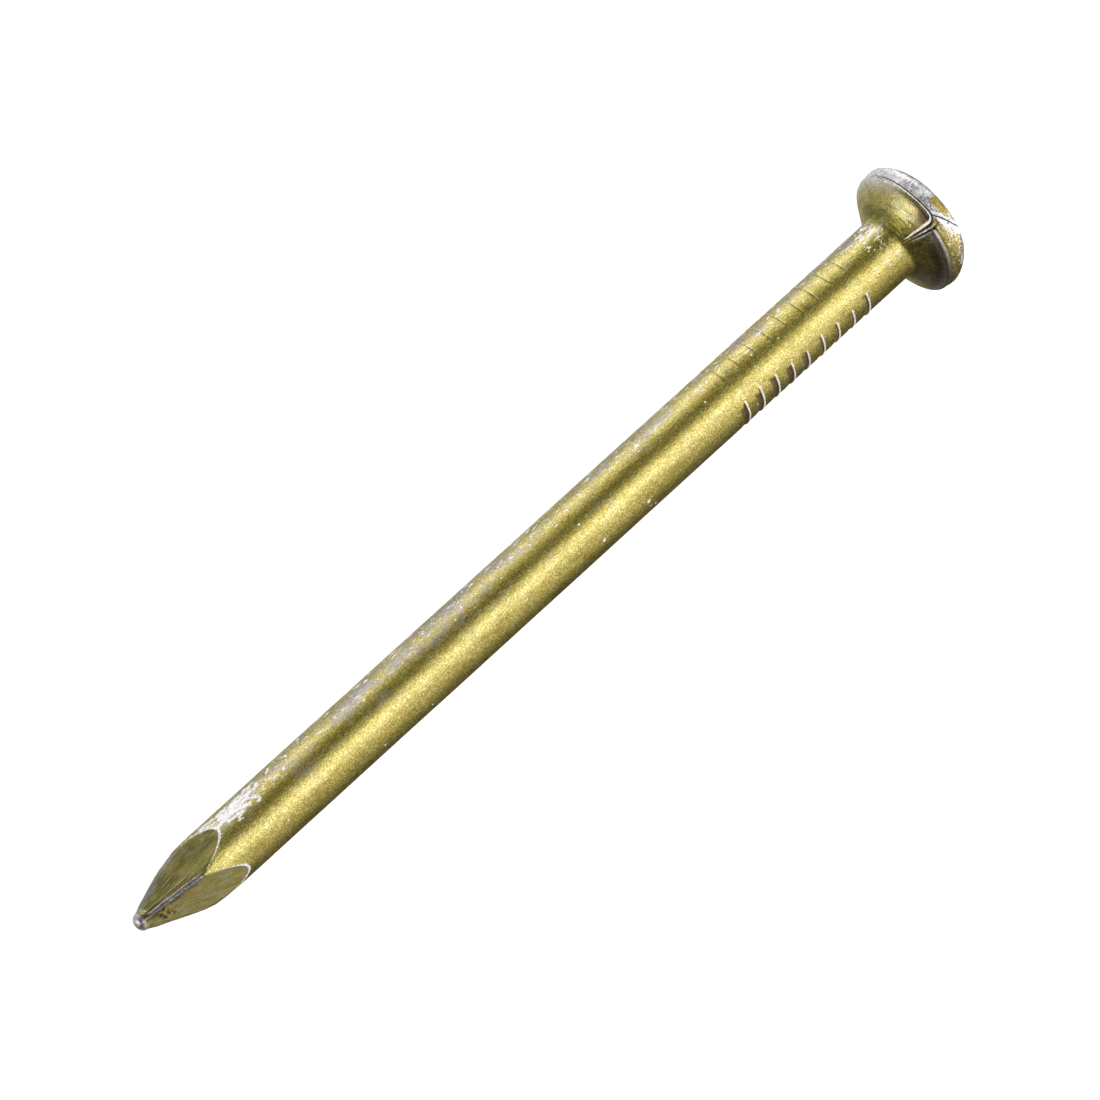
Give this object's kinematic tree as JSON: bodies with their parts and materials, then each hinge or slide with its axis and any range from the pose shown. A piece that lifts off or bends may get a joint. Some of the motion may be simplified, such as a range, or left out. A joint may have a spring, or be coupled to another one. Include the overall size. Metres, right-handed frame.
{
  "type": "nail",
  "caption": "Round steel nail with a thick upset head, ridged grip marks along the shank below it and a four-faced pinched point; driven with a hammer to fasten wood or masonry.",
  "frame": {"origin": "centre of the flat top of the head, on the nail's axis", "axes": "+X along the axis, out of the head's flat top, so the point is at -X; the two gripping dies met in the XZ plane, so the ridged grip marks are on the +Y and -Y sides"},
  "size_m": [0.075, 0.0092, 0.0092],
  "materials": {
    "zinc_steel": "steel with a yellow chromated zinc coating, satin and slightly scratched"
  },
  "bodies": {
    "root": {"nail": "zinc_steel"}
  },
  "joints": []
}
